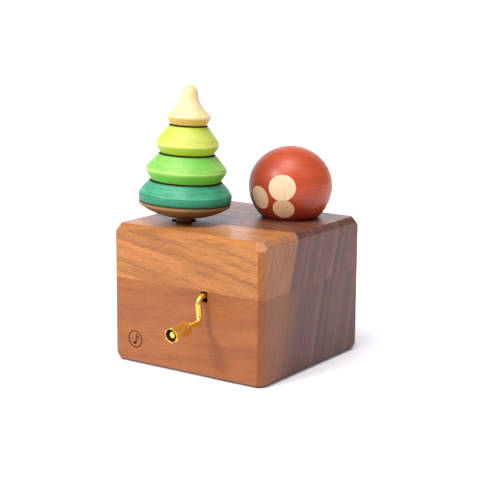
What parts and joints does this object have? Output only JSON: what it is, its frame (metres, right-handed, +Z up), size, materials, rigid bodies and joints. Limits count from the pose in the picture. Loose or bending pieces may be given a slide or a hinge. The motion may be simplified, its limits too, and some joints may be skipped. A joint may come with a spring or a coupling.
{
  "type": "hand crank music box",
  "caption": "Square walnut music box with chamfered edges, a bent brass crank on one face, and a tiered tree and a ball parked in sockets on top.",
  "frame": {"origin": "centre of the box's underside", "axes": "+Z up, -Y out of the face the crank comes from, +X out of the end-grain face on the right of it"},
  "size_m": [0.1, 0.131, 0.1534],
  "materials": {
    "walnut_upper": "satin oiled walnut, warm",
    "walnut_lower": "satin oiled walnut, redder",
    "blackened_steel": "black oxide",
    "zinc": "die-cast zinc, standing in as steel",
    "steel": "ground steel",
    "lead": "dull lead",
    "brass": "polished",
    "brown_stain": "stained, satin",
    "teal_stain": "translucent stain, satin",
    "green_stain": "translucent stain, satin",
    "yellow_stain": "translucent stain, satin",
    "cream_stain": "clear finish, satin",
    "pale_wood": "bare maple",
    "rust_lacquer": "coloured lacquer, satin"
  },
  "bodies": {
    "box": {"upper_block": "walnut_upper", "lower_block": "walnut_lower", "box_screw_1": "blackened_steel", "box_screw_2": "blackened_steel", "box_screw_3": "blackened_steel", "box_screw_4": "blackened_steel", "movement_bedplate": "zinc", "arbor_bearing_left": "zinc", "arbor_bearing_right": "zinc", "worm_bearing_front": "zinc", "worm_bearing_rear": "zinc", "movement_screw_1": "steel", "movement_screw_2": "steel", "movement_screw_3": "steel", "movement_screw_4": "steel", "comb": "steel", "comb_screw_1": "steel", "comb_screw_2": "steel", "comb_screw_3": "steel", "comb_weight_1": "lead", "comb_weight_2": "lead", "comb_weight_3": "lead", "comb_weight_4": "lead", "comb_weight_5": "lead", "comb_weight_6": "lead"},
    "crank": {"crank_wire": "brass", "knob_collar": "brass", "worm_shaft": "brass"},
    "knob": {"knob_sleeve": "brass"},
    "cylinder": {"pinned_cylinder": "brass", "cylinder_arbor": "steel", "worm_wheel": "brass"},
    "tree_foot": {"tree_foot": "brown_stain"},
    "tree": {"tree_spindle": "pale_wood", "tree_disc": "brown_stain", "tree_tier_lower": "teal_stain", "tree_tier_middle": "green_stain", "tree_tier_upper": "yellow_stain", "tree_crown": "cream_stain"},
    "ball_foot": {"ball_foot": "pale_wood"},
    "ball": {"ball_body": "rust_lacquer"}
  },
  "joints": [
    {"name": "crank_turn", "type": "hinge", "parent": "box", "child": "crank", "pos_m": [0.0129, -0.05, 0.0454], "axis": [0, 1, 0], "continuous": true},
    {"name": "knob_spin", "type": "hinge", "parent": "crank", "child": "knob", "pos_m": [0.01422, -0.0555, 0.03247], "axis": [0.0071, -0.9976, -0.0694], "continuous": true},
    {"name": "cylinder_turn", "type": "hinge", "parent": "box", "child": "cylinder", "pos_m": [0, -0.015, 0.054], "axis": [1, 0, 0], "continuous": true},
    {"name": "tree_lift", "type": "slide", "parent": "box", "child": "tree_foot", "axis": [0.0384, 0.0267, 0.9989], "range_m": [0, 0.04]},
    {"name": "tree_spin", "type": "hinge", "parent": "tree_foot", "child": "tree", "pos_m": [-0.02185, -0.0216, 0.078], "axis": [0.0384, 0.0267, 0.9989], "continuous": true},
    {"name": "ball_lift", "type": "slide", "parent": "box", "child": "ball_foot", "axis": [0, 0, 1], "range_m": [0, 0.04]},
    {"name": "ball_spin", "type": "hinge", "parent": "ball_foot", "child": "ball", "pos_m": [0.0187, 0.0243, 0.078], "axis": [0, 0, 1], "continuous": true}
  ],
  "couplings": [
    {"joint": "cylinder_turn", "follows": "crank_turn", "ratio": -0.05}
  ]
}
